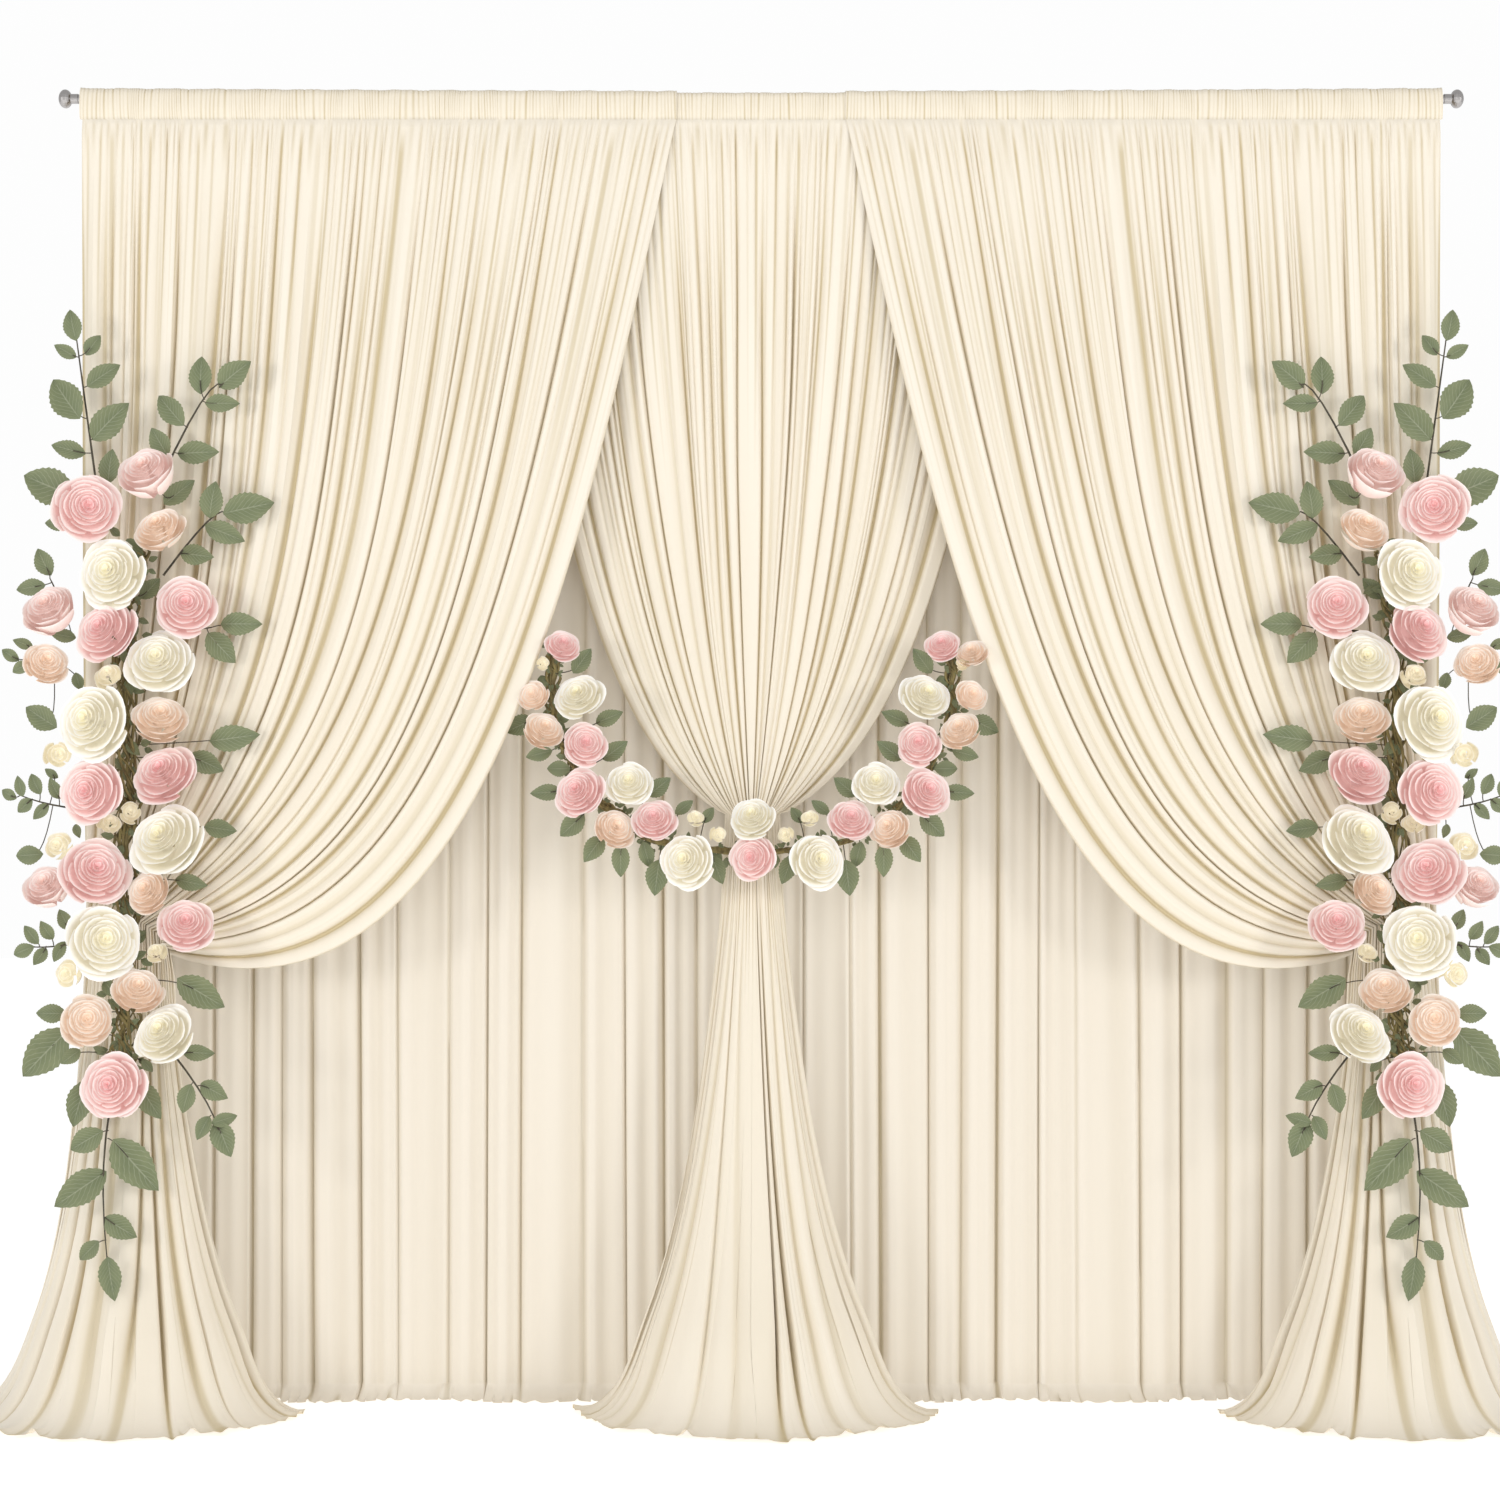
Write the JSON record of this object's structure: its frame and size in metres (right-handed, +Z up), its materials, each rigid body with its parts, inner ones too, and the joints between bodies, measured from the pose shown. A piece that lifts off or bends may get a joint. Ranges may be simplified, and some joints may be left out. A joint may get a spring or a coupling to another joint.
{
  "type": "satin backdrop curtain with its rod",
  "caption": "Satin backdrop curtain on its rod: two swagged side panels, a gathered centre panel, a plain back panel and rose garlands.",
  "frame": {"origin": "on the rod's axis at mid-length, where the rod is held", "axes": "+X along the rod to the viewer's right, +Y away from the viewer, +Z up"},
  "size_m": [3.5612, 0.4751, 2.9388],
  "materials": {
    "ivory_satin": "satin",
    "satin_nickel": "satin",
    "garland_mix": "matte"
  },
  "bodies": {
    "root": {"rod": "satin_nickel", "finial_left": "satin_nickel", "finial_right": "satin_nickel", "back_panel": "ivory_satin", "side_panel_left": "ivory_satin", "side_panel_right": "ivory_satin", "centre_panel": "ivory_satin", "garland_left": "garland_mix", "garland_right": "garland_mix", "garland_centre": "garland_mix"}
  },
  "joints": []
}
